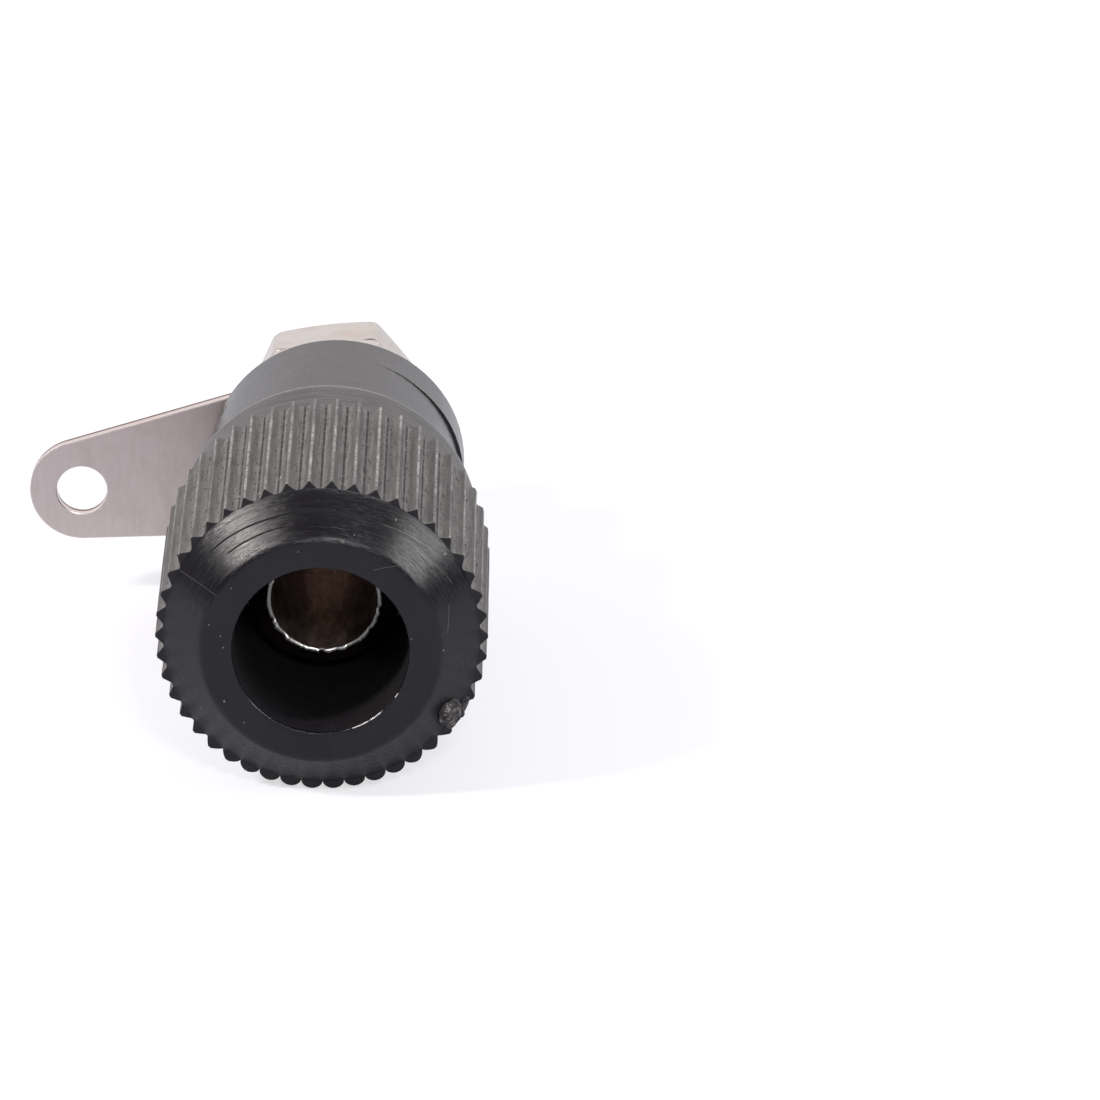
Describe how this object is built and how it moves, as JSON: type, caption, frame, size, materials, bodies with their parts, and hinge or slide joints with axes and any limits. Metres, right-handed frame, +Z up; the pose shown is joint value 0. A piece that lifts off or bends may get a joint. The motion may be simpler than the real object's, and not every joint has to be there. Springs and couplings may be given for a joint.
{
  "type": "binding post",
  "caption": "Insulated panel binding post: a knurled screw-down knob with a plug mouth on a bored, threaded metal post, with bushings, solder lug and nuts.",
  "frame": {"origin": "on the post's axis, in the plane of the front bushing's rear face, where the panel seats", "axes": "+Y along the axis, from the knob's mouth to the rear stud; +Z up; the solder lug points to -X and a little down"},
  "size_m": [0.0183, 0.0291, 0.0124],
  "materials": {
    "knob_plastic": "satin",
    "bushing_plastic": "satin",
    "bare_brass": "satin",
    "plated_brass": "satin",
    "lug_metal": "satin",
    "nut_metal": "satin"
  },
  "bodies": {
    "post_body": {"post": "plated_brass", "front_bushing": "bushing_plastic", "rear_bushing": "bushing_plastic", "flat_washer": "nut_metal", "solder_lug": "lug_metal", "clamp_nut": "nut_metal", "lock_nut": "nut_metal"},
    "insert_body": {"knob_insert": "bare_brass"},
    "knob_body": {"knob": "knob_plastic"}
  },
  "joints": [
    {"name": "knob_travel", "type": "slide", "parent": "post_body", "child": "insert_body", "axis": [0, -1, 0], "range_m": [0, 0.004]},
    {"name": "knob_turn", "type": "hinge", "parent": "insert_body", "child": "knob_body", "pos_m": [0, -0.0078, 0], "axis": [0, -1, 0], "range_deg": [0, 1440]}
  ],
  "couplings": [
    {"joint": "knob_turn", "follows": "knob_travel", "rad_per_m": 6283.2}
  ]
}
